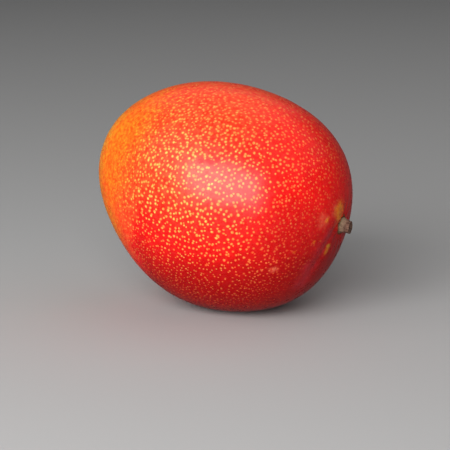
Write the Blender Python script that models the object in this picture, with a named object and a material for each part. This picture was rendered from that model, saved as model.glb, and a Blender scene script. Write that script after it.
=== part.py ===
"""A whole ripe mango lying on a table, with the cut stub of its stem.

Metres, +Z up. The origin is on the small flat spot that the fruit rests on. The long axis lies
in the XZ plane, with the stem end towards +X and lower than the tip. The cheeks face -Y and +Y.
"""
import math

import bmesh
import bpy
from mathutils import Matrix, Vector

# Fruit: an egg that is broad at the stem end, deeper from back to belly than it is thick
HALF_LENGTH = 0.0591
HALF_DEPTH = 0.0503
HALF_THICKNESS = 0.0460
BROADER_TO_STEM = 0.095
FULLER_ENDS = 0.063
BLUNTER_STEM_END = 0.077
SIDE_BEND = -0.0006
SIDE_BEND_TO_STEM = 0.0011
BELLY_WAVE = 0.00155
FRUIT_SEGMENTS = 64
FRUIT_RINGS = 42

# Pose: the stem end hangs lower than the tip, and the flat spot is cut a little into the belly
TILT = math.radians(20.2)
REST_CUT = 0.0007

# Stem end: a shallow dip round a stub that leaves the fruit above its long axis
FOOT_ANGLE = math.radians(9.0)
DIP_DEPTH = 0.0013
DIP_SPREAD = math.radians(9.0)
STEM_DROP = math.radians(13.0)
SEAT_DEPTH = 0.0010
GAP = 0.0003

# Stem stub: a flared collar, a short neck and a rough cut end
COLLAR_RADIUS = 0.0040
NECK_RADIUS = 0.0032
END_RADIUS = 0.0034
STEM_LENGTH = 0.0056
STEM_SEGMENTS = 28
BARK_RIDGES = 7
BARK_DEPTH = 0.00013

# Cutters
CUTTER_SIZE = 0.080
CUTTER_HEIGHT = 0.010
CUTTER_SEGMENTS = 48
MERGE = 0.000001


def clear_scene():
    for old in list(bpy.data.objects):
        bpy.data.objects.remove(old, do_unlink=True)


def new_collection(name):
    collection = bpy.data.collections.new(name)
    bpy.context.scene.collection.children.link(collection)
    return collection


def new_material(name, color, roughness):
    material = bpy.data.materials.new(name)
    material.use_nodes = True
    shader = material.node_tree.nodes["Principled BSDF"]
    shader.inputs["Base Color"].default_value = (*color, 1.0)
    shader.inputs["Roughness"].default_value = roughness
    shader.inputs["Metallic"].default_value = 0.0
    return material


def new_object(name, shape, collection):
    """Turn a bmesh into a named object with its faces pointing out."""
    bmesh.ops.recalc_face_normals(shape, faces=shape.faces)
    mesh = bpy.data.meshes.new(name)
    shape.to_mesh(mesh)
    shape.free()
    body = bpy.data.objects.new(name, mesh)
    collection.objects.link(body)
    return body


def foot_direction():
    return Vector((math.cos(FOOT_ANGLE), math.sin(FOOT_ANGLE), 0.0))


def skin_point(direction):
    """Where the skin lies for a unit vector along (stem end, back, cheek), in the fruit's own axes."""
    along = max(-1.0, min(1.0, direction.x))
    side = math.sqrt(1.0 - along * along)
    swell = 1.0 + BROADER_TO_STEM * along + FULLER_ENDS * along ** 2 + BLUNTER_STEM_END * along ** 3
    bend = (SIDE_BEND + SIDE_BEND_TO_STEM * along) * side ** 2
    belly = (side - direction.y) ** 2 / (4.0 * side) if side > MERGE else 0.0
    wave = BELLY_WAVE * belly * math.cos(4.0 * math.acos(along))
    off_foot = direction.angle(foot_direction(), 0.0)
    dip = DIP_DEPTH * math.exp(-((off_foot / DIP_SPREAD) ** 2))
    return Vector((
        HALF_LENGTH * along - dip,
        HALF_DEPTH * swell * direction.y + bend - wave,
        HALF_THICKNESS * swell * direction.z,
    ))


def lay_down():
    """Matrix from the fruit's own axes to the table: stem end to +X and lowered, cheeks to the sides."""
    return Matrix((
        (math.cos(TILT), math.sin(TILT), 0.0, 0.0),
        (0.0, 0.0, -1.0, 0.0),
        (-math.sin(TILT), math.cos(TILT), 0.0, 0.0),
        (0.0, 0.0, 0.0, 1.0),
    ))


def lowest_point(turn):
    """Lowest point of the belly's middle line once the fruit is laid down."""
    steps = 3600
    line = (math.pi * step / steps for step in range(1, steps))
    belly = (turn @ skin_point(Vector((math.cos(angle), -math.sin(angle), 0.0))) for angle in line)
    return min(belly, key=lambda point: point.z)


def placement():
    """Matrix that lays the fruit down with the middle of its flat spot at the origin."""
    turn = lay_down()
    lowest = lowest_point(turn)
    return Matrix.Translation((-lowest.x, 0.0, -lowest.z - REST_CUT)) @ turn


def stem_frame(place):
    """Matrix of the stem's foot: its +Z leaves the fruit along the stub."""
    foot = place @ skin_point(foot_direction())
    outward = Vector((math.cos(STEM_DROP), 0.0, -math.sin(STEM_DROP)))
    floor = foot - outward * SEAT_DEPTH
    return Matrix.Translation(floor) @ outward.to_track_quat("Z", "Y").to_matrix().to_4x4()


def make_fruit(place, collection):
    shape = bmesh.new()
    bmesh.ops.create_uvsphere(shape, u_segments=FRUIT_SEGMENTS, v_segments=FRUIT_RINGS, radius=1.0)
    pole_to_foot = Vector((0.0, 0.0, 1.0)).rotation_difference(foot_direction())
    for vertex in shape.verts:
        direction = (pole_to_foot @ vertex.co).normalized()
        vertex.co = place @ skin_point(direction)
    fruit = new_object("fruit", shape, collection)
    fruit.data.shade_smooth()
    fruit.data.materials.append(new_material("mango_skin", (0.78, 0.06, 0.03), 0.38))
    return fruit


def stem_profile():
    """Distance from the axis and height of the stub's outline, from foot to cut end."""
    return (
        (0.0, 0.0),
        (COLLAR_RADIUS * 0.94, 0.0),
        (COLLAR_RADIUS, STEM_LENGTH * 0.10),
        (COLLAR_RADIUS * 0.96, STEM_LENGTH * 0.20),
        (NECK_RADIUS * 1.08, STEM_LENGTH * 0.33),
        (NECK_RADIUS, STEM_LENGTH * 0.50),
        (NECK_RADIUS * 1.02, STEM_LENGTH * 0.68),
        (END_RADIUS, STEM_LENGTH * 0.84),
        (END_RADIUS * 0.95, STEM_LENGTH * 0.94),
        (END_RADIUS * 0.74, STEM_LENGTH),
        (END_RADIUS * 0.40, STEM_LENGTH * 0.965),
        (0.0, STEM_LENGTH * 0.95),
    )


def make_stem(foot, collection):
    shape = bmesh.new()
    ring = [shape.verts.new((radius, 0.0, height)) for radius, height in stem_profile()]
    edges = [shape.edges.new(pair) for pair in zip(ring, ring[1:])]
    bmesh.ops.spin(shape, geom=ring + edges, axis=(0.0, 0.0, 1.0), cent=(0.0, 0.0, 0.0),
                   angle=2.0 * math.pi, steps=STEM_SEGMENTS, use_merge=True)
    bmesh.ops.remove_doubles(shape, verts=shape.verts, dist=MERGE)
    lift = Matrix.Translation((0.0, 0.0, GAP))
    for vertex in shape.verts:
        height = vertex.co.z / STEM_LENGTH
        around = math.atan2(vertex.co.y, vertex.co.x)
        radius = vertex.co.xy.length
        if height > 0.25 and radius > MERGE:
            ridge = math.sin(BARK_RIDGES * around + 2.0 * height) + 0.6 * math.sin(3.0 * around)
            vertex.co.xy *= 1.0 + BARK_DEPTH * ridge / radius
        vertex.co = foot @ lift @ vertex.co
    stem = new_object("stem", shape, collection)
    stem.data.shade_smooth()
    stem.data.set_sharp_from_angle(angle=math.radians(50.0))
    stem.data.materials.append(new_material("stem_bark", (0.20, 0.11, 0.07), 0.85))
    return stem


def hide_cutter(cutter):
    cutter.hide_render = True
    cutter.display_type = "WIRE"
    return cutter


def make_rest_cutter(collection):
    """A block under the table's surface, which takes the flat spot off the belly."""
    shape = bmesh.new()
    bmesh.ops.create_cube(shape, size=1.0)
    bmesh.ops.scale(shape, vec=(CUTTER_SIZE, CUTTER_SIZE, CUTTER_HEIGHT), verts=shape.verts)
    bmesh.ops.translate(shape, vec=(0.0, 0.0, -CUTTER_HEIGHT / 2.0), verts=shape.verts)
    return hide_cutter(new_object("rest_cutter", shape, collection))


def make_seat_cutter(foot, collection):
    """A short round plug that sinks the stem's seat into the skin."""
    shape = bmesh.new()
    bmesh.ops.create_cone(shape, cap_ends=True, segments=CUTTER_SEGMENTS,
                          radius1=COLLAR_RADIUS + GAP, radius2=COLLAR_RADIUS + GAP, depth=CUTTER_HEIGHT)
    bmesh.ops.translate(shape, vec=(0.0, 0.0, CUTTER_HEIGHT / 2.0), verts=shape.verts)
    bmesh.ops.transform(shape, matrix=foot, verts=shape.verts)
    return hide_cutter(new_object("seat_cutter", shape, collection))


def cut(body, cutter):
    modifier = body.modifiers.new(cutter.name, "BOOLEAN")
    modifier.operation = "DIFFERENCE"
    modifier.solver = "EXACT"
    modifier.object = cutter


def main():
    clear_scene()
    parts = new_collection("mango")
    cutters = new_collection("cutters")
    place = placement()
    foot = stem_frame(place)
    fruit = make_fruit(place, parts)
    make_stem(foot, parts)
    cut(fruit, make_rest_cutter(cutters))
    cut(fruit, make_seat_cutter(foot, cutters))


main()
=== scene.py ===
"""Looks for a ripe red mango with a cut stem stub, lying on a pale studio floor."""
import math

import bmesh
import bpy
import numpy as np
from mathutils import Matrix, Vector


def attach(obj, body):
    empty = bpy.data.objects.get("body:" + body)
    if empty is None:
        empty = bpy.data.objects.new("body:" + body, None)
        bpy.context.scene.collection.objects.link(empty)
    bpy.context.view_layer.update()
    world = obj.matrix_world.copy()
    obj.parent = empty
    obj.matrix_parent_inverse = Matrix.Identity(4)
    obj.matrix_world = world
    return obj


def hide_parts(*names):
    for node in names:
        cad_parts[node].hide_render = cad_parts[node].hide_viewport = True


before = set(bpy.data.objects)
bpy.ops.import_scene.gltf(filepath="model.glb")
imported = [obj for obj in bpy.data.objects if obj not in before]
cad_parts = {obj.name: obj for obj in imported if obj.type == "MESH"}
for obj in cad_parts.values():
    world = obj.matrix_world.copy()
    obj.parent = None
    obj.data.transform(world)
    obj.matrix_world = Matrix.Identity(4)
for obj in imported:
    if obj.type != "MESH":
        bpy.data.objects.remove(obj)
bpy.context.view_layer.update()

# Fruit, in metres, from the same driving dimensions as its solid
HALF_LENGTH = 0.0591
HALF_DEPTH = 0.0503
HALF_THICKNESS = 0.0460
BROADER_TO_STEM = 0.095
FULLER_ENDS = 0.063
BLUNTER_STEM_END = 0.077
SIDE_BEND = -0.0006
SIDE_BEND_TO_STEM = 0.0011
BELLY_WAVE = 0.00155
TILT = math.radians(20.2)
REST_CUT = 0.0007
FOOT_ANGLE = math.radians(9.0)
DIP_DEPTH = 0.0013
DIP_SPREAD = math.radians(9.0)
STEM_DROP = math.radians(13.0)
SEAT_DEPTH = 0.0010

# Fine skin
SKIN_SEGMENTS = 400
SKIN_RINGS = 232
SKIN_INSET = 0.00006
SWELL_DEPTH = 0.00035
PORE_DEPTH = 0.00006
PUCKER_DEPTH = 0.00035
PUCKER_COUNT = 9
FURROW_DEPTH = 0.00060
FURROW_WIDTH = 0.045
TIP_SCAR_DEPTH = 0.0005
TIP_DIRECTION = (-1.0, -0.05, 0.0)
WAVE_COUNT = 14
FULL_TURN = 6.28
TINY = 1e-9

# Fine stem stub, inside the outline of its solid
STEM_LENGTH = 0.0056
STEM_SEGMENTS = 144
STEM_STEPS = 110
STEM_GAP = 0.0003
COLLAR_HEIGHT = 0.0006
COLLAR_SPREAD = 0.0007
CUT_SLOPE = 0.18
CUT_INSET = 0.0002
FRAY_DEPTH = 0.00045
FRAY_ON_CUT = 0.00035

# Camera: a long lens, low above the table and a little round towards the stem end. The outline's
# middle, FRUIT_AIM metres right and up of the fruit's origin, lies at FRUIT_PIXEL in the picture.
VIEW_AZIMUTH = math.radians(22.0)
VIEW_ELEVATION = math.radians(12.0)
VIEW_DISTANCE = 0.84
LENS_MM = 150.0
SENSOR_MM = 36.0
PICTURE_SIDE = 450.0
FRUIT_PIXEL = (226.6, 194.6)
FRUIT_AIM = (0.002185, -0.001491)

# Studio
FLOOR_SIZE = 8.0
FLOOR_COLOR = (0.45, 0.446, 0.442, 1.0)
FLOOR_ROUGHNESS = 0.9
WORLD_COLOR = (0.95, 0.97, 1.0, 1.0)
WORLD_STRENGTH = 0.08


def unit(values):
    vector = np.asarray(values, float)
    return vector / np.linalg.norm(vector)


FOOT_DIRECTION = unit((math.cos(FOOT_ANGLE), math.sin(FOOT_ANGLE), 0.0))


def skin_points(direction):
    """Where the skin lies for unit vectors along (stem end, back, cheek), in the fruit's own axes."""
    direction = np.atleast_2d(direction)
    along = np.clip(direction[:, 0], -1.0, 1.0)
    side = np.sqrt(1.0 - along ** 2)
    swell = 1.0 + BROADER_TO_STEM * along + FULLER_ENDS * along ** 2 + BLUNTER_STEM_END * along ** 3
    bend = (SIDE_BEND + SIDE_BEND_TO_STEM * along) * side ** 2
    belly = np.where(side > TINY, (side - direction[:, 1]) ** 2 / (4.0 * np.maximum(side, TINY)), 0.0)
    wave = BELLY_WAVE * belly * np.cos(4.0 * np.arccos(along))
    off_foot = np.arccos(np.clip(direction @ FOOT_DIRECTION, -1.0, 1.0))
    dip = DIP_DEPTH * np.exp(-((off_foot / DIP_SPREAD) ** 2))
    return np.stack((
        HALF_LENGTH * along - dip,
        HALF_DEPTH * swell * direction[:, 1] + bend - wave,
        HALF_THICKNESS * swell * direction[:, 2],
    ), axis=1)


LAY_DOWN = np.array((
    (math.cos(TILT), math.sin(TILT), 0.0),
    (0.0, 0.0, -1.0),
    (-math.sin(TILT), math.cos(TILT), 0.0),
))


def fruit_centre():
    """Where the fruit's own origin comes to lie, so that the flat spot's middle is at the world's."""
    angle = np.pi * np.arange(1, 3600) / 3600
    line = np.stack((np.cos(angle), -np.sin(angle), np.zeros_like(angle)), axis=1)
    belly = skin_points(line) @ LAY_DOWN.T
    lowest = belly[belly[:, 2].argmin()]
    return np.array((-lowest[0], 0.0, -lowest[2] - REST_CUT))


CENTRE = fruit_centre()


def to_world(points):
    return points @ LAY_DOWN.T + CENTRE


def skin_place(*direction):
    """World point of the skin in a direction (stem end, back, cheek)."""
    return Vector(to_world(skin_points(unit(direction)))[0])


# Node helper

class Graph:
    """Short ways to add shader nodes. A value given for a socket may be a number, a colour or an output."""

    def __init__(self, name):
        self.material = bpy.data.materials.new(name)
        self.material.use_nodes = True
        self.tree = self.material.node_tree
        self.shader = self.tree.nodes["Principled BSDF"]
        self.place = self.node("ShaderNodeTexCoord").outputs["Object"]
        self.outward = self.node("ShaderNodeNewGeometry").outputs["Normal"]

    def put(self, socket, value):
        if isinstance(value, bpy.types.NodeSocket):
            self.tree.links.new(value, socket)
        elif socket.type == "RGBA" and len(value) == 3:
            socket.default_value = (*value, 1.0)
        else:
            socket.default_value = value

    def node(self, kind, inputs=None, **settings):
        made = self.tree.nodes.new(kind)
        for name, value in settings.items():
            setattr(made, name, value)
        for name, value in (inputs or {}).items():
            self.put(made.inputs[name], value)
        return made

    def math(self, operation, *values):
        return self.node("ShaderNodeMath", dict(enumerate(values)), operation=operation).outputs[0]

    def total(self, *values):
        result = values[0]
        for value in values[1:]:
            result = self.math("ADD", result, value)
        return result

    def product(self, *values):
        result = values[0]
        for value in values[1:]:
            result = self.math("MULTIPLY", result, value)
        return result

    def vector(self, operation, *values):
        return self.node("ShaderNodeVectorMath", dict(enumerate(values)), operation=operation)

    def smooth(self, value, low, high, start=0.0, end=1.0):
        """Runs softly from start to end as value goes from low to high."""
        inputs = {"Value": value, "From Min": low, "From Max": high, "To Min": start, "To Max": end}
        return self.node("ShaderNodeMapRange", inputs, interpolation_type="SMOOTHSTEP").outputs[0]

    def triple(self, *values):
        return self.node("ShaderNodeCombineXYZ", dict(enumerate(values))).outputs["Vector"]

    def split(self, vector):
        return list(self.node("ShaderNodeSeparateXYZ", {"Vector": vector}).outputs)

    def noise(self, size, detail, roughness=0.5):
        """Soft noise from 0 to 1, whose features measure about size metres."""
        inputs = {"Vector": self.place, "Scale": 1.0 / size, "Detail": detail, "Roughness": roughness}
        return self.node("ShaderNodeTexNoise", inputs)

    def mix(self, factor, first, second, blend="MIX"):
        made = self.node("ShaderNodeMix", data_type="RGBA", blend_type=blend)
        self.put(made.inputs[0], factor)
        self.put(made.inputs[6], first)
        self.put(made.inputs[7], second)
        return made.outputs[2]

    def ramp(self, factor, stops):
        made = self.node("ShaderNodeValToRGB", {"Fac": factor})
        steps = made.color_ramp.elements
        steps[0].position, steps[0].color = stops[0][0], (*stops[0][1], 1.0)
        steps[1].position, steps[1].color = stops[-1][0], (*stops[-1][1], 1.0)
        for position, color in stops[1:-1]:
            steps.new(position).color = (*color, 1.0)
        return made.outputs["Color"]

    def distance(self, point, place):
        return self.vector("DISTANCE", place, tuple(point)).outputs["Value"]

    def bump(self, height, depth, strength, normal=None):
        """A bump whose height of 1 stands depth metres proud, on top of an earlier one where given."""
        made = self.node("ShaderNodeBump", {"Strength": strength, "Distance": depth, "Height": height})
        if normal is not None:
            self.put(made.inputs["Normal"], normal)
        return made.outputs["Normal"]


# Fruit skin material

# Crimson, maroon and belly red darken the lower side: partly the skin's own deeper red, partly painted
# shade
CRIMSON_AND_SHADE = (0.430, 0.0022, 0.0026)
MAROON_AND_SHADE = (0.440, 0.0016, 0.0020)
BELLY_RED_AND_SHADE = (0.800, 0.0088, 0.0076)
DEEP_RED = (0.820, 0.0095, 0.0084)
RED = (0.820, 0.0105, 0.0088)
SCARLET = (0.930, 0.0180, 0.0110)
VERMILION = (0.950, 0.0480, 0.0180)
ORANGE_RED = (0.950, 0.0610, 0.0140)
ORANGE = (0.950, 0.1350, 0.0080)
YELLOW_ORANGE = (0.930, 0.2500, 0.0060)
DOT_ON_RED = (0.970, 0.1550, 0.0400)
DOT_ON_ORANGE = (1.000, 0.4300, 0.0820)
DOT_ON_TIP = (0.980, 0.2250, 0.0100)
DOT_ON_END = (1.000, 0.6200, 0.1200)
PATCH_ORANGE = (1.000, 0.2400, 0.0110)
PATCH_PINK = (0.950, 0.1000, 0.0500)
STREAK_GREEN = (0.620, 0.2500, 0.0150)
# Painted sheen: a purplish tint that stands for a soft reflection
PAINTED_SHEEN_PURPLE = (0.600, 0.0280, 0.0430)
SCUFF_PALE = (0.860, 0.1400, 0.0700)
BLEMISH_RED = (0.640, 0.0016, 0.0012)
CORK_RING = (0.100, 0.0750, 0.0230)
TIP_SCAR = (0.080, 0.0400, 0.0150)

# Sizes of the skin's patterns, in metres
PATCHY_SIZE = 0.028
MOTTLE_SIZE = 0.0042
BLUSH_SIZE = 0.0019
GRAIN_SIZE = 0.0011
DOT_SPACING = 0.00208
DOT_RADIUS = 0.00062
FINE_DOT_SPACING = 0.00135
FINE_DOT_RADIUS = 0.00040
FINE_DOT_SHIFT = (0.31, 0.17, 0.0)
OUTLINE_WARP_SIZE = 0.0030
OUTLINE_WARP = 0.0036
RELIEF_DEPTH = 0.00004
MOTTLE_DEPTH = 0.00008

# Marks: tint, strength, direction (stem end, back, cheek), radius, and the share of it that is full
SKIN_MARKS = (
    # The first mark, a broad crimson patch below and right of the middle, is partly the skin's deeper red
    # and partly painted shade
    (CRIMSON_AND_SHADE, 0.42, (0.718, 0.160, 0.677), 0.0220, 0.20),
    (PATCH_PINK, 0.45, (0.940, 0.305, 0.185), 0.0062, 0.20),
    (PATCH_ORANGE, 0.90, (0.943, 0.300, 0.140), 0.0058, 0.20),
    (PATCH_ORANGE, 0.90, (0.958, 0.262, 0.105), 0.0052, 0.20),
    (PATCH_PINK, 0.70, (0.903, 0.238, 0.358), 0.0050, 0.20),
    (PATCH_ORANGE, 0.60, (0.920, 0.235, 0.313), 0.0020, 0.20),
    # Painted sheen along the furrow and at the lower stem end
    (PAINTED_SHEEN_PURPLE, 0.50, (0.972, 0.125, 0.240), 0.0055, 0.20),
    (PAINTED_SHEEN_PURPLE, 0.45, (0.960, 0.020, 0.300), 0.0065, 0.20),
    (PAINTED_SHEEN_PURPLE, 0.45, (0.935, -0.130, 0.335), 0.0075, 0.20),
    (PAINTED_SHEEN_PURPLE, 0.50, (0.905, -0.270, 0.320), 0.0070, 0.20),
    (STREAK_GREEN, 0.80, (0.980, 0.030, 0.196), 0.0023, 0.20),
    (STREAK_GREEN, 0.75, (0.978, -0.008, 0.208), 0.0024, 0.20),
    (PATCH_ORANGE, 0.45, (0.908, 0.082, 0.412), 0.0012, 0.20),
    (PATCH_ORANGE, 0.45, (0.938, 0.086, 0.336), 0.0011, 0.20),
    (PATCH_ORANGE, 0.35, (0.832, -0.010, 0.554), 0.0012, 0.20),
    (SCUFF_PALE, 0.40, (0.753, -0.179, 0.633), 0.0026, 0.20),
    (SCUFF_PALE, 0.40, (0.735, -0.190, 0.655), 0.0024, 0.20),
    (BLEMISH_RED, 1.00, (0.046, 0.488, 0.872), 0.0022, 0.50),
    (BLEMISH_RED, 0.95, (-0.011, 0.475, 0.880), 0.0019, 0.50),
    (BLEMISH_RED, 0.90, (0.090, 0.518, 0.851), 0.0018, 0.50),
    (CORK_RING, 0.85, tuple(FOOT_DIRECTION), 0.0050, 0.82),
    (TIP_SCAR, 0.80, TIP_DIRECTION, 0.0013, 0.20),
)

HALVES = (HALF_LENGTH, HALF_DEPTH, HALF_THICKNESS)


def fruit_axes(graph, vector):
    """The parts of a world vector along the fruit's own axes: stem end, back and cheek."""
    return [graph.vector("DOT_PRODUCT", vector, tuple(row)).outputs["Value"] for row in LAY_DOWN.T]


def dot_chart(graph, size, radius, order, shift):
    """Spots on the part of the skin that faces along one of the fruit's axes, the last one in order."""
    first, second, facing = order
    parts = fruit_axes(graph, graph.vector("SUBTRACT", graph.place, tuple(CENTRE)).outputs["Vector"])
    point = graph.triple(parts[first], parts[second], parts[facing])
    parts = fruit_axes(graph, graph.outward)
    outward = graph.triple(parts[first], parts[second], parts[facing])

    # Angles from the axis stay evenly spaced, and a slow warp bends the rows
    spread = graph.split(point)
    angles = graph.triple(graph.math("ARCTANGENT", graph.math("DIVIDE", spread[0], spread[2])),
                          graph.math("ARCTANGENT", graph.math("DIVIDE", spread[1], spread[2])), 0.0)
    step = size / HALVES[facing]
    drift = graph.noise(size * 8.0, detail=0.0).outputs["Color"]
    drift = graph.vector("SUBTRACT", drift, (0.5, 0.5, 0.5))
    drift = graph.vector("SCALE", drift.outputs["Vector"])
    graph.put(drift.inputs["Scale"], step * 1.3)
    drift = graph.vector("ADD", drift.outputs["Vector"], shift).outputs["Vector"]
    cells = graph.node("ShaderNodeTexVoronoi", {
        "Vector": graph.vector("ADD", angles, drift).outputs["Vector"],
        "Scale": 1.0 / step,
        "Randomness": 0.92,
    }, voronoi_dimensions="2D")

    # The spot's middle, where the ray at its angles meets the plane that touches the skin here
    middle = graph.split(graph.vector("SUBTRACT", cells.outputs["Position"], drift).outputs["Vector"])
    ray = graph.triple(graph.math("TANGENT", middle[0]), graph.math("TANGENT", middle[1]), 1.0)
    height = graph.vector("DOT_PRODUCT", outward, point).outputs["Value"]
    reach = graph.math("DIVIDE", height, graph.vector("DOT_PRODUCT", outward, ray).outputs["Value"])
    centre = graph.vector("SCALE", ray)
    graph.put(centre.inputs["Scale"], reach)
    across = graph.vector("DISTANCE", centre.outputs["Vector"], point).outputs["Value"]

    off_axis = graph.math("MAXIMUM", graph.math("ABSOLUTE", middle[0]), graph.math("ABSOLUTE", middle[1]))
    belongs = graph.math("LESS_THAN", off_axis, math.pi / 4.0)
    random = graph.node("ShaderNodeSeparateColor", {"Color": cells.outputs["Color"]})
    ragged = graph.noise(size * 0.45, detail=1.0).outputs["Fac"]
    edge = graph.product(graph.math("MULTIPLY_ADD", random.outputs["Red"], 0.50, 0.70), radius,
                         graph.math("MULTIPLY_ADD", ragged, 0.7, 0.65))
    spot = graph.smooth(graph.math("DIVIDE", across, edge), 1.25, 0.35)
    return graph.product(spot, belongs, graph.math("MULTIPLY_ADD", random.outputs["Green"], 0.40, 0.60))


def dot_layer(graph, size, radius, shift):
    """Round soft spots that lie flat on the skin, about size metres apart, as a mask from 0 to 1."""
    orders = ((1, 2, 0), (2, 0, 1), (0, 1, 2))
    charts = [dot_chart(graph, size, radius, order, shift) for order in orders]
    return graph.math("MAXIMUM", charts[0], graph.math("MAXIMUM", charts[1], charts[2]))


def skin_material():
    graph = Graph("mango_skin_fine")
    parts = fruit_axes(graph, graph.vector("SUBTRACT", graph.place, tuple(CENTRE)).outputs["Vector"])
    along, back, cheek = (graph.math("DIVIDE", part, half) for part, half in zip(parts, HALVES))
    patchy = graph.noise(PATCHY_SIZE, detail=3.0, roughness=0.55).outputs["Fac"]
    mottle = graph.noise(MOTTLE_SIZE, detail=4.0, roughness=0.62).outputs["Fac"]
    grain = graph.noise(GRAIN_SIZE, detail=2.0, roughness=0.6).outputs["Fac"]

    # Yellow orange tip, whose edge runs on below, vermilion middle, red stem end
    drift = graph.total(graph.math("MULTIPLY_ADD", patchy, 0.30, -0.15),
                        graph.math("MULTIPLY_ADD", mottle, 0.14, -0.07))
    edge = graph.total(graph.math("MULTIPLY", along, -0.9), drift,
                       graph.math("MULTIPLY", graph.math("ABSOLUTE", cheek), -0.45))
    under_tip = graph.product(graph.smooth(edge, 0.0, 0.22), graph.smooth(back, -0.25, -0.60), -0.10)
    run = graph.total(graph.math("MULTIPLY_ADD", along, 0.5, 0.5), graph.math("MULTIPLY", drift, 0.6),
                      under_tip)
    color = graph.ramp(run, (
        (0.07, YELLOW_ORANGE), (0.15, ORANGE), (0.25, ORANGE_RED), (0.46, VERMILION), (0.65, SCARLET),
        (0.80, RED), (0.93, DEEP_RED),
    ))

    # Orange red along the back; deeper red, crimson and maroon down to the belly and under the stem end,
    # partly the skin's deeper red and partly painted shade
    ridge = graph.math("MULTIPLY", graph.smooth(graph.total(back, drift), 0.60, 1.0),
                       graph.smooth(along, 0.40, 0.00, 0.10, 0.70))
    color = graph.mix(ridge, color, ORANGE_RED)
    height = graph.total(back, drift, graph.smooth(edge, -0.15, 0.17, 0.0, 1.2))
    color = graph.mix(graph.smooth(height, 0.16, -0.30), color, BELLY_RED_AND_SHADE)
    depth = graph.math("SUBTRACT", height, graph.math("MULTIPLY", along, 0.35))
    color = graph.mix(graph.smooth(depth, -0.20, -0.80), color, CRIMSON_AND_SHADE)
    color = graph.mix(graph.smooth(graph.math("SUBTRACT", height, along), -0.32, -1.20), color, MAROON_AND_SHADE)

    # Lenticels: even pale dots, smaller and redder towards the stem and the belly, faint at the tip
    low = graph.smooth(back, 0.00, -0.58)
    size_here = graph.product(graph.smooth(along, 0.85, 0.30, 0.75, 1.0),
                              graph.math("MULTIPLY_ADD", low, -0.34, 1.0))
    main = dot_layer(graph, DOT_SPACING, graph.math("MULTIPLY", size_here, DOT_RADIUS), (0.0, 0.0, 0.0))
    fine = dot_layer(graph, FINE_DOT_SPACING, FINE_DOT_RADIUS, FINE_DOT_SHIFT)
    fine = graph.math("MULTIPLY", fine, graph.smooth(along, -0.35, -0.70, 0.0, 0.5))
    main = graph.product(main, graph.smooth(along, -0.92, -0.62, 0.50, 1.0),
                         graph.smooth(along, 1.0, 0.74, 0.10, 1.0),
                         graph.math("MULTIPLY_ADD", low, -0.30, 1.0))
    dots = graph.math("MAXIMUM", main, fine)
    off_middle = graph.math("ABSOLUTE", graph.math("SUBTRACT", back, 0.06))
    dot_warmth = graph.product(graph.smooth(off_middle, 1.08, 0.18), graph.smooth(along, 0.85, 0.10))
    dot_color = graph.mix(dot_warmth, DOT_ON_RED, DOT_ON_ORANGE)
    dot_color = graph.mix(graph.smooth(along, -0.25, -0.68), dot_color, DOT_ON_TIP)
    dot_color = graph.mix(graph.smooth(along, -0.84, -0.95), dot_color, DOT_ON_END)
    color = graph.mix(dots, color, dot_color)

    # Patches and blemishes with wavy outlines, a painted sheen along the furrow, a broad crimson patch that
    # is partly painted shade, and the corky ring round the stem's foot
    warp = graph.noise(OUTLINE_WARP_SIZE, detail=3.0).outputs["Color"]
    warp = graph.vector("SUBTRACT", warp, (0.5, 0.5, 0.5))
    warp = graph.vector("SCALE", warp.outputs["Vector"])
    graph.put(warp.inputs["Scale"], OUTLINE_WARP)
    place = graph.vector("ADD", graph.place, warp.outputs["Vector"]).outputs["Vector"]
    for tint, strength, direction, radius, full in SKIN_MARKS:
        mask = graph.smooth(graph.distance(skin_place(*direction), place), radius, radius * full)
        color = graph.mix(graph.math("MULTIPLY", mask, strength), color, tint)

    # Fine mottling of the colour
    shade = graph.math("MULTIPLY_ADD", mottle, 0.40, 0.80)
    shade = graph.product(shade, graph.math("MULTIPLY_ADD", grain, 0.24, 0.88))
    blush = graph.noise(BLUSH_SIZE, detail=3.0, roughness=0.6).outputs["Fac"]
    paler = graph.product(shade, graph.smooth(blush, 0.28, 0.72, 0.52, 1.50))
    tones = graph.node("ShaderNodeCombineColor", {"Red": shade, "Green": paler, "Blue": paler})
    color = graph.mix(1.0, color, tones.outputs["Color"], "MULTIPLY")

    # The dots stand a little proud, and the peel's cells are a fine grain
    relief = graph.total(graph.math("MULTIPLY", dots, 0.5), graph.math("MULTIPLY", grain, 0.25))
    normal = graph.bump(relief, RELIEF_DEPTH, 0.6)
    normal = graph.bump(mottle, MOTTLE_DEPTH, 0.18, normal)
    rough = graph.total(0.24, graph.math("MULTIPLY", mottle, 0.08), graph.math("MULTIPLY", dots, 0.06))

    shader = graph.shader
    graph.put(shader.inputs["Base Color"], color)
    graph.put(shader.inputs["Roughness"], rough)
    graph.put(shader.inputs["Normal"], normal)
    shader.inputs["IOR"].default_value = 1.45
    shader.inputs["Specular IOR Level"].default_value = 0.36
    return graph.material


# Stem material

BARK_BROWN = (0.150, 0.072, 0.046)
BARK_DARK = (0.045, 0.014, 0.011)
BARK_BEIGE = (0.340, 0.220, 0.140)
BARK_GREEN = (0.115, 0.105, 0.035)
END_PALE = (0.240, 0.132, 0.088)


def stem_axes(graph, foot, outward):
    """Outputs for the stub: height above its foot and distance from its axis, in metres."""
    rel = graph.vector("SUBTRACT", graph.place, tuple(foot)).outputs["Vector"]
    height = graph.vector("DOT_PRODUCT", rel, tuple(outward)).outputs["Value"]
    length = graph.vector("LENGTH", rel).outputs["Value"]
    squares = graph.math("SUBTRACT", graph.math("POWER", length, 2.0), graph.math("POWER", height, 2.0))
    return height, graph.math("SQRT", graph.math("MAXIMUM", squares, 0.0))


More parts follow.
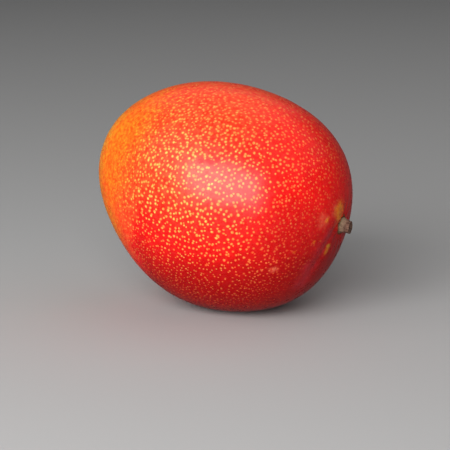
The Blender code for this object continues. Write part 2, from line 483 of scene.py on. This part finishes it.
def stem_material(foot, outward):
    graph = Graph("stem_bark_fine")
    height, radius = stem_axes(graph, foot, outward)
    coarse = graph.noise(0.0013, detail=4.0, roughness=0.65).outputs["Fac"]
    fibre = graph.noise(0.00035, detail=3.0, roughness=0.7).outputs["Fac"]
    rings = graph.math("SINE", graph.math("MULTIPLY", radius, 9000.0))
    color = graph.ramp(graph.total(coarse, graph.math("MULTIPLY_ADD", fibre, 0.5, -0.25)), (
        (0.34, BARK_DARK), (0.50, BARK_BROWN), (0.66, END_PALE),
    ))
    collar = graph.math("MULTIPLY", graph.smooth(height, 0.0036, 0.0014), graph.smooth(coarse, 0.20, 0.50))
    color = graph.mix(graph.math("MULTIPLY", collar, 0.80), color, BARK_BEIGE)
    color = graph.mix(graph.smooth(height, 0.0016, 0.0006, 0.0, 0.6), color, BARK_GREEN)
    cut_end = graph.smooth(height, STEM_LENGTH * 0.88, STEM_LENGTH * 0.94)
    end_tone = graph.mix(graph.smooth(graph.total(fibre, graph.math("MULTIPLY", rings, 0.12)), 0.35, 0.65),
                         BARK_DARK, END_PALE)
    color = graph.mix(graph.math("MULTIPLY", cut_end, 0.8), color, end_tone)
    relief = graph.total(graph.math("MULTIPLY", coarse, 0.6), graph.math("MULTIPLY", fibre, 0.4))
    graph.put(graph.shader.inputs["Base Color"], color)
    graph.put(graph.shader.inputs["Roughness"], graph.smooth(coarse, 0.3, 0.8, 0.92, 0.72))
    graph.put(graph.shader.inputs["Normal"], graph.bump(relief, 0.00025, 0.9))
    graph.shader.inputs["IOR"].default_value = 1.4
    return graph.material


# Meshes

def finish_piece(name, shape, material, node):
    bmesh.ops.recalc_face_normals(shape, faces=shape.faces)
    mesh = bpy.data.meshes.new(name)
    shape.to_mesh(mesh)
    shape.free()
    mesh.shade_smooth()
    mesh.materials.append(material)
    piece = bpy.data.objects.new(name, mesh)
    bpy.context.scene.collection.objects.link(piece)
    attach(piece, "root")
    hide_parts(node)


def soft_waves(points, size, seed):
    """Smooth waves from -1 to 1 whose features measure about size, the same on each run."""
    draw = np.random.default_rng(seed)
    total = np.zeros(len(points))
    for _ in range(WAVE_COUNT):
        axis = unit(draw.normal(size=3))
        turns = points @ axis * (2.0 * np.pi / (size * draw.uniform(0.7, 1.5)))
        total += np.sin(turns + draw.uniform(0.0, FULL_TURN))
    return total / math.sqrt(WAVE_COUNT) / 1.5


FURROW_PATH = np.array([unit(step) for step in (
    (0.978, 0.150, 0.150), (0.971, 0.080, 0.225), (0.967, -0.012, 0.255), (0.945, -0.130, 0.300),
    (0.898, -0.320, 0.302), (0.800, -0.520, 0.290),
)])


def furrow_depth(direction):
    """A shallow groove that runs from the stem's foot down round the belly side of the stem end."""
    depth = np.zeros(len(direction))
    for start, end in zip(FURROW_PATH, FURROW_PATH[1:]):
        run = end - start
        share = np.clip(((direction - start) @ run) / (run @ run), 0.0, 1.0)
        off = np.linalg.norm(direction - (start + share[:, None] * run), axis=1)
        depth = np.maximum(depth, np.exp(-((off / FURROW_WIDTH) ** 2)))
    fade = np.clip(1.10 - np.linalg.norm(direction - FURROW_PATH[0], axis=1) / 0.52, 0.0, 1.0)
    return FURROW_DEPTH * depth * fade


def make_skin():
    """The peel: swellings, fine unevenness, puckers round the stem, a furrow and the scar at the tip."""
    shape = bmesh.new()
    bmesh.ops.create_uvsphere(shape, u_segments=SKIN_SEGMENTS, v_segments=SKIN_RINGS, radius=1.0)
    turn = Vector((0.0, 0.0, 1.0)).rotation_difference(Vector(FOOT_DIRECTION)).to_matrix()
    direction = np.array([vertex.co for vertex in shape.verts]) @ np.array(turn).T
    direction /= np.linalg.norm(direction, axis=1)[:, None]
    off_foot = np.arccos(np.clip(direction @ FOOT_DIRECTION, -1.0, 1.0))
    around = np.arctan2(direction[:, 2], direction[:, 1] - FOOT_DIRECTION[1])
    sink = SKIN_INSET + SWELL_DEPTH * (0.5 + 0.5 * soft_waves(direction, 0.9, 3))
    sink += PORE_DEPTH * (0.5 + 0.5 * soft_waves(direction, 0.12, 5))
    folds = 0.5 + 0.5 * np.cos(PUCKER_COUNT * around + 1.3 * np.sin(2 * around))
    sink += PUCKER_DEPTH * (np.exp(-((off_foot / 0.17) ** 2)) * folds)
    sink += furrow_depth(direction)
    tip_off = np.linalg.norm(direction - unit(TIP_DIRECTION), axis=1)
    sink += TIP_SCAR_DEPTH * np.exp(-((tip_off / 0.035) ** 2))
    points = to_world(skin_points(direction) * (1.0 - sink / HALF_DEPTH)[:, None])
    points[:, 2] = np.maximum(points[:, 2], 0.0)
    for vertex, point in zip(shape.verts, points):
        vertex.co = point
    finish_piece("mango_peel", shape, skin_material(), "fruit")


def stem_foot():
    """The stub's foot and direction, in the world."""
    outward = np.array((math.cos(STEM_DROP), 0.0, -math.sin(STEM_DROP)))
    foot = np.array(skin_place(*FOOT_DIRECTION)) - outward * SEAT_DEPTH
    return foot, outward


def stem_outline(share):
    """Radius and height of the stub's side for shares of the way from foot to the middle of the end."""
    stations = (0.0, 0.10, 0.17, 0.24, 0.34, 0.46, 0.60, 0.74, 0.82, 0.88, 0.94, 1.0)
    radii = (3.60, 3.92, 3.86, 3.52, 3.22, 3.06, 3.00, 2.96, 2.84, 2.40, 1.30, 0.0)
    heights = (0.0, 0.45, 0.90, 1.40, 2.00, 2.80, 3.60, 4.50, 5.15, 5.52, 5.46, 5.40)
    radius = np.interp(share, stations, radii)
    height = np.interp(share, stations, heights)
    return radius / 1000.0, height / 1000.0


def make_stem():
    """The stub: a lobed corky collar, a ridged neck and a frayed, fibrous cut end."""
    shape = bmesh.new()
    bmesh.ops.create_uvsphere(shape, u_segments=STEM_SEGMENTS, v_segments=STEM_STEPS, radius=1.0)
    ball = np.array([vertex.co for vertex in shape.verts])
    share = np.clip(np.arccos(np.clip(-ball[:, 2], -1.0, 1.0)) / np.pi, 0.0, 1.0)
    around = np.arctan2(ball[:, 1], ball[:, 0])
    radius, height = stem_outline(share)
    place = np.stack((np.cos(around), np.sin(around), height * 700.0), axis=1)
    side = np.clip(height / 0.0012, 0.0, 1.0)
    ridges = 0.5 + 0.5 * np.sin(7.0 * around + 2.2 * np.sin(2.0 * around) + 500.0 * height)
    lobes = 0.5 + 0.5 * np.cos(5.0 * around + 0.8 * np.sin(3.0 * around))
    knobs = 0.5 + 0.5 * soft_waves(place, 1.1, 11)
    collar = np.exp(-((height - COLLAR_HEIGHT) / COLLAR_SPREAD) ** 2)
    radius = radius * (1.0 - side * (0.05 * ridges + 0.07 * knobs) - collar * 0.07 * lobes)
    end = np.clip((share - 0.80) / 0.08, 0.0, 1.0)
    flat = np.stack((radius * np.cos(around), radius * np.sin(around)), axis=1)
    frayed = 0.5 + 0.5 * soft_waves(flat @ np.eye(2, 3) * 1000.0, 0.9, 17)
    height = height - end * FRAY_DEPTH * frayed
    slant = CUT_SLOPE * (0.003 + radius * np.sin(around))
    height = np.minimum(height, STEM_LENGTH - CUT_INSET - slant - FRAY_ON_CUT * frayed)
    local = np.column_stack((flat, height))
    foot, outward = stem_foot()
    turn = np.array(Vector(outward).to_track_quat("Z", "Y").to_matrix())
    for vertex, point in zip(shape.verts, local @ turn.T + foot + outward * STEM_GAP):
        vertex.co = point
    finish_piece("stem_stub", shape, stem_material(foot, outward), "stem")


# Studio

def direction_from(azimuth, elevation):
    """Unit vector towards a place seen at an azimuth round from -Y and an elevation above the table."""
    return Vector((math.sin(azimuth) * math.cos(elevation), -math.cos(azimuth) * math.cos(elevation),
                   math.sin(elevation)))


def add_softbox(name, azimuth, elevation, distance, width, height, power):
    light = bpy.data.lights.new(name, "AREA")
    light.shape = "RECTANGLE"
    light.size = width
    light.size_y = height
    light.energy = power
    lamp = bpy.data.objects.new(name, light)
    toward = direction_from(math.radians(azimuth), math.radians(elevation))
    lamp.location = Vector(CENTRE) + toward * distance
    lamp.rotation_euler = toward.to_track_quat("Z", "Y").to_euler()
    bpy.context.scene.collection.objects.link(lamp)


def make_floor():
    """A matt pale floor that takes shadows but stays out of the peel's reflections."""
    bpy.ops.mesh.primitive_plane_add(size=FLOOR_SIZE, location=(0.0, 0.0, 0.0))
    floor = bpy.context.object
    floor.name = "floor"
    graph = Graph("pale_floor")
    graph.shader.inputs["Base Color"].default_value = FLOOR_COLOR
    graph.shader.inputs["Roughness"].default_value = FLOOR_ROUGHNESS
    graph.shader.inputs["Specular IOR Level"].default_value = 0.0
    floor.data.materials.append(graph.material)
    floor.visible_glossy = False


def make_world():
    world = bpy.data.worlds.new("studio")
    world.use_nodes = True
    back = world.node_tree.nodes["Background"]
    back.inputs["Color"].default_value = WORLD_COLOR
    back.inputs["Strength"].default_value = WORLD_STRENGTH
    bpy.context.scene.world = world


def make_camera():
    back = direction_from(VIEW_AZIMUTH, VIEW_ELEVATION)
    right = Vector((math.cos(VIEW_AZIMUTH), math.sin(VIEW_AZIMUTH), 0.0))
    up = back.cross(right)
    pixel = VIEW_DISTANCE * SENSOR_MM / LENS_MM / PICTURE_SIDE
    middle = Vector(CENTRE) + FRUIT_AIM[0] * right + FRUIT_AIM[1] * up
    half = PICTURE_SIDE / 2.0
    target = middle + (half - FRUIT_PIXEL[0]) * pixel * right + (FRUIT_PIXEL[1] - half) * pixel * up
    camera = bpy.data.objects.new("camera", bpy.data.cameras.new("camera"))
    camera.data.lens = LENS_MM
    camera.data.sensor_width = SENSOR_MM
    camera.location = middle + back * VIEW_DISTANCE
    camera.rotation_euler = (camera.location - target).to_track_quat("Z", "Y").to_euler()
    bpy.context.scene.collection.objects.link(camera)
    bpy.context.scene.camera = camera


make_skin()
make_stem()
make_floor()
make_world()
add_softbox("key", azimuth=1.5, elevation=23.0, distance=1.1, width=1.06, height=0.66, power=17.6)
add_softbox("halo", azimuth=-35.0, elevation=38.0, distance=1.2, width=1.1, height=0.9, power=2.8)
add_softbox("right_fill", azimuth=105.0, elevation=58.0, distance=1.5, width=1.8, height=1.8, power=4.0)
add_softbox("back_fill", azimuth=205.0, elevation=55.0, distance=1.6, width=1.8, height=1.4, power=2.3)
make_camera()
bpy.context.scene.view_settings.view_transform = "Standard"
